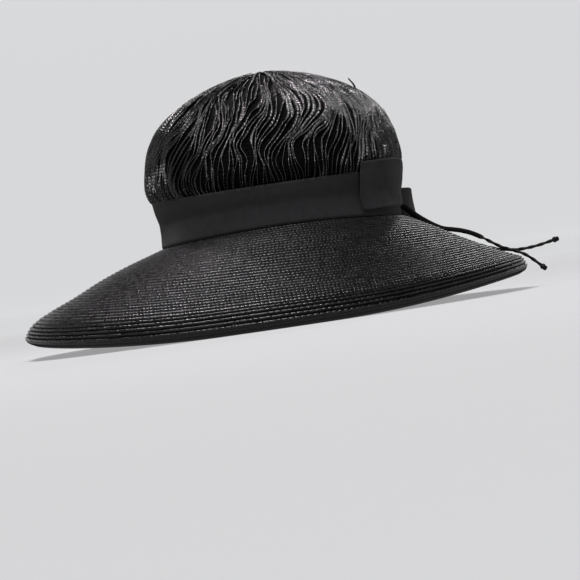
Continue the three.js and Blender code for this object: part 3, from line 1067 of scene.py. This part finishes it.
def makeStrawEnd():
    line = throughPoints(strawEnd["path"], strawEnd["stepsPerSpan"], False)
    radius = strawEnd["radius"] * (0.75 + 0.3 * np.sin(np.linspace(0.3, 2.8, len(line))))
    turns = np.linspace(0, strawEnd["turn"], len(line))
    rings = sweep(line, radius, radius * strawEnd["flatness"], turns, strawEnd["sides"])
    return makeSkin("strawEnd", rings, plumeMat, lambda i, k: i / 4, lambda i, k: k / 5, line[[0, -1]])


dress(makeStrawEnd(), "gathered_straw")
print("straw end made")


# hat band
bandMake = {
    "stations": 240,
    "rows": 16,
    "length": 600,
    "rib": 1.1,
    "edge": 0.35,  # how much its edges are rounded
    "wave": 0.25,
    "deepest": -0.1,
}


def bodyHalfWidth(rise):
    band = crownWide(np.minimum(rise, form["bandWidth"])) + form["clearance"] + form["bandThickness"]
    return np.maximum(band, crownWide(rise))


def makeBand():
    make = bandMake
    stations, rows = make["stations"], make["rows"]
    angles = roundAngles(stations)
    wavy = make["wave"] * (np.sin(7 * angles + 0.5) + 0.6 * np.sin(13 * angles + 2))
    wavy = np.maximum(wavy, make["deepest"])
    outside, inside = [], []
    for k, rise in enumerate(np.linspace(0, form["bandWidth"], rows)):
        edge = make["edge"] if k in (0, rows - 1) else 0.0
        bow = math.sin(math.pi * k / (rows - 1))
        half = crownWide(rise) + form["clearance"]
        level = levelHeight(angles, rise)
        outside.append(ovalPoint(angles, half + form["bandThickness"] - edge, level, bow * wavy))
        inside.append(ovalPoint(angles, half, level))
    grid = np.stack(outside + inside[::-1], 1)
    ribs = round(make["length"] / make["rib"])
    return makeSkin("hatBand", grid, ribbonMat, lambda i, k: i / stations * ribs, lambda i, k: k)


dress(makeBand(), "ribbon", "hat_band")
print("band made")


# bow
bowMake = {
    "ribbonWidth": 35.8,
    "thickness": 1.0,
    "edgeShare": 0.55,  # of the thickness at the ribbon's edges
    "seat": 0.5,
    "knotAngle": 100.0,
    "knotHalfAngle": 4.5,
    "levels": 14,
    "stepsPerSpan": 6,
    "rib": 1.1,
}
frontLoop = {  # rows: share of the reach from the knot, stand-off, lower and upper edge
    "rows": [
        (0, 0.14, 0.13, 0.74), (0.15, 0.16, 0.09, 0.78), (0.3, 0.26, 0.05, 0.85), (0.44, 0.44, 0.02, 0.93),
        (0.57, 0.66, 0, 0.98), (0.71, 0.88, 0, 1), (0.83, 1, 0, 1), (0.92, 0.9, 0, 1), (0.975, 0.6, 0, 1),
        (1, 0.24, 0, 1),
    ],
    "standoff": 12.5,
    "reach": 54.0,
    "side": -1,
    "lift": 2.1,
}
rearLoop = {  # rows: share of the reach from the knot, stand-off
    "rows": [
        (0, 0.12), (0.06, 0.42), (0.15, 0.78), (0.26, 1), (0.4, 1), (0.56, 0.88), (0.73, 0.72), (0.87, 0.56),
        (0.965, 0.36), (1, 0.1),
    ],
    "standoff": 23.0,
    "reach": 42.0,
    "side": 1,
    "lift": 0.9,
    "top": 16.4,
    "round": 8.0,  # how much the outer fold's top corner drops
    "roundFrom": 0.7,
}
knotMake = {
    "height": 26.0,
    "middle": 17.5,
    "proud": 3.4,
    "folds": 5,
    "foldDepth": 0.7,
    "waist": 0.12,
    "shoulder": 0.35,
    "squareness": (0.6, 0.7),  # powers for its height and its depth
    "sides": 28,
    "rings": 31,
}


def riseAt(angle, height):
    above = height - form["crownBase"]
    dip = dipAt(angle)
    return above if above > form["bandWidth"] else (above + dip) / (1 + dip / form["bandWidth"])


def brimTopAt(x, y):
    # the height of the brim's top at a place; its lines aren't radial, so the right one is searched for
    around = math.atan2(x, -y)
    low, high = around - 40 * degree, around + 40 * degree
    for _ in range(24):
        middle = (low + high) / 2
        seam, run, heading, _ = brimLine(np.array(middle))
        side = heading[0] * (y - seam[1]) - heading[1] * (x - seam[0])
        low, high = (middle, high) if side > 0 else (low, middle)
    share = math.hypot(x - seam[0], y - seam[1]) / run
    return float(brimPoint(np.array(low), np.array(share), 0.0)[2])


def besideBody(angle, height, out):
    return ovalPoint(angle, bodyHalfWidth(riseAt(angle, height)), height, out)


def loopLine(loop, share):
    # the ribbon's closed line at a share of its width: out from the knot, round the fold and back
    make = bowMake
    innerSide = make["seat"] + make["thickness"] / 2
    leastOut = innerSide + make["thickness"] + form["clearance"]
    besideKnot = (form["clearance"] + make["thickness"] / 2) / form["crownHalfWidth"]
    knotEdge = make["knotHalfAngle"] * degree + besideKnot

    def place(row, out):
        angle = make["knotAngle"] * degree + loop["side"] * (knotEdge + row[0] * loop["reach"] * degree)
        if "top" in loop:
            foot = ovalPoint(angle, bodyHalfWidth(0), form["crownBase"], out)
            low = brimTopAt(foot[0], foot[1]) + loop["lift"]
            rounding = loop["round"] * max(0, row[1] - loop["roundFrom"])
            high = form["crownBase"] + loop["top"] - rounding
        else:
            low, high = (form["crownBase"] + loop["lift"] + edge * make["ribbonWidth"] for edge in row[2:])
        return besideBody(angle, low + share * (high - low), out)

    outer = [place(row, max(leastOut, row[1] * loop["standoff"])) for row in loop["rows"]]
    inner = [place(row, innerSide) for row in loop["rows"][1:-1][::-1]]
    return throughPoints(outer + inner, make["stepsPerSpan"], True)


def makeLoop(name, loop):
    make = bowMake
    shares = 0.5 - 0.5 * np.cos(np.linspace(0, math.pi, make["levels"]))
    lines = [loopLine(loop, share) for share in shares]
    outside, inside = [], []
    for k, line in enumerate(lines):
        along = np.roll(line, -1, 0) - np.roll(line, 1, 0)
        across = unit(np.stack([along[:, 1], -along[:, 0], np.zeros(len(line))], -1))
        edge = make["edgeShare"] if k in (0, len(lines) - 1) else 1.0
        outside.append(line + across * make["thickness"] / 2 * edge)
        inside.append(line - across * make["thickness"] / 2 * edge)
    grid = np.stack(outside + inside[::-1], 1)
    middle = lines[len(lines) // 2 - 1]
    run = runAlong(middle)
    run = np.append(run, run[-1] + np.linalg.norm(middle[0] - middle[-1]))
    run = run / run[-1] * round(run[-1] / make["rib"])
    return makeSkin(name, grid, ribbonMat, lambda i, k: run[i], lambda i, k: k)


def signedPower(value, power):
    return math.copysign(abs(value) ** power, value)


def makeKnot():
    make = knotMake
    upPower, outPower = make["squareness"]
    middle = form["crownBase"] + make["middle"]
    rings = []
    for across in np.linspace(-1, 1, make["rings"]):
        angle = (bowMake["knotAngle"] + across * bowMake["knotHalfAngle"]) * degree
        half = make["height"] / 2 * (1 - make["waist"] * (1 - across**2))
        fold = make["foldDepth"] * (0.5 - 0.5 * math.cos(make["folds"] * math.pi * (across + 1)))
        face = make["proud"] * (1 - make["shoulder"] * across**2) - fold
        ring = []
        for turn in roundAngles(make["sides"]):
            up = signedPower(math.cos(turn), upPower)
            out = 0.5 + 0.5 * signedPower(math.sin(turn), outPower)
            ring.append(besideBody(angle, middle + up * half, form["clearance"] + out * face))
        rings.append(ring)
    poles = [np.mean(rings[0], 0), np.mean(rings[-1], 0)]
    return makeSkin("bowKnot", rings, ribbonMat, lambda i, k: k, lambda i, k: i, poles)


dress(makeLoop("bowFrontLoop", frontLoop), "ribbon", "bow_front_loop")
dress(makeLoop("bowRearLoop", rearLoop), "ribbon", "bow_rear_loop")
dress(makeKnot(), "ribbon", "bow_knot")
print("bow made")


# floor, backdrop and light
studio = {
    "floorRadii": (400, 900, 1600, 3000, 5000, 7000, 9000.0),
    "curve": 1500.0,
    "curveSteps": 12,
    "wall": 1700.0,
    "stations": 96,
    "rough": 0.9,
    "paper": (0.2, 0.201, 0.204),
    "grain": 3.0,
    "grainShade": 0.985,
    "light": (0.82, 0.825, 0.835),
    "glow": 0.75,  # the far paper's own light
    "nearGlow": 0.38,
    "glowRange": (0.3, 2.4),  # m
    "sky": (0.93, 0.95, 1.0),
    "skyStrength": 0.05,
    "lightAim": (0.01, 0, 0.09),  # m
}
lights = [  # name, place in m, width, depth, power in W, spread in degrees, colour
    ("overStrip", (-0.3, 0.1, 1.5), 0.12, 0.5, 2.4, 80, (1, 1, 1)),
    ("overSoft", (0.15, -0.35, 2.2), 0.8, 0.8, 8, 140, (1, 1, 1)),
    ("frontStrip", (-0.1, -1.0, 1.8), 0.5, 0.14, 16, 140, (1, 1, 1)),
    ("leftStrip", (-0.5, 0.82, 1.85), 0.11, 0.36, 10, 140, (1, 0.87, 0.96)),
    ("rightSoft", (0.7, 2.2, 1.2), 0.7, 0.4, 3.4, 120, (1, 1, 1)),
]


def paperMaterial():
    sockets = {"Roughness": studio["rough"], "Emission Color": (*studio["light"], 1)}
    material, tree, shader = newMaterial("palePaper", sockets)
    place = add(tree, "ShaderNodeTexCoord").outputs["Object"]
    away = add(tree, "ShaderNodeVectorMath", [place], operation="LENGTH").outputs["Value"]
    glow = add(tree, "ShaderNodeMapRange", [away, *studio["glowRange"], studio["nearGlow"], studio["glow"]])
    tree.links.new(glow.outputs[0], shader.inputs["Emission Strength"])
    grain = noiseAt(tree, place, studio["grain"])
    shaded = tuple(c * studio["grainShade"] for c in studio["paper"])
    colourInto(tree, shader, grain.outputs[0], shaded, studio["paper"])
    return material


def makeStudio():
    stations = studio["stations"]
    edge = studio["floorRadii"][-1]
    rings = [(radius, 0.0) for radius in studio["floorRadii"]]
    for turn in np.linspace(0, math.pi / 2, studio["curveSteps"])[1:]:
        rings.append((edge + studio["curve"] * math.sin(turn), studio["curve"] * (1 - math.cos(turn))))
    rings.append((rings[-1][0], rings[-1][1] + studio["wall"]))
    angles = roundAngles(stations)
    grid = np.stack([planPoint(angles, radius, height) for radius, height in rings], 0)
    quads = gridFaces(len(grid), stations, False, True)[0]
    points = np.concatenate([grid.reshape(-1, 3), [[0, 0, 0]]])
    middle = fanFaces(0, stations, len(points) - 1, False)
    floor = makeMesh("floor", points, quads, paperMaterial(), middle)
    floor.data.flip_normals()


def makeLights():
    for name, place, wide, deep, power, spread, colour in lights:
        data = bpy.data.lights.new(name, "AREA")
        data.shape = "RECTANGLE"
        data.size = wide
        data.size_y = deep
        data.energy = power
        data.color = colour
        data.spread = spread * degree
        light = addObject(name, data)
        light.location = place
        aim = Vector(studio["lightAim"]) - Vector(place)
        light.rotation_euler = aim.to_track_quat("-Z", "Y").to_euler()
    world = bpy.data.worlds.new("studioSky")
    world.use_nodes = True
    sky = world.node_tree.nodes["Background"]
    sky.inputs[0].default_value = (*studio["sky"], 1)
    sky.inputs[1].default_value = studio["skyStrength"]
    bpy.context.scene.world = world
    bpy.context.scene.view_settings.view_transform = "Standard"


makeStudio()
makeLights()
print("studio made")
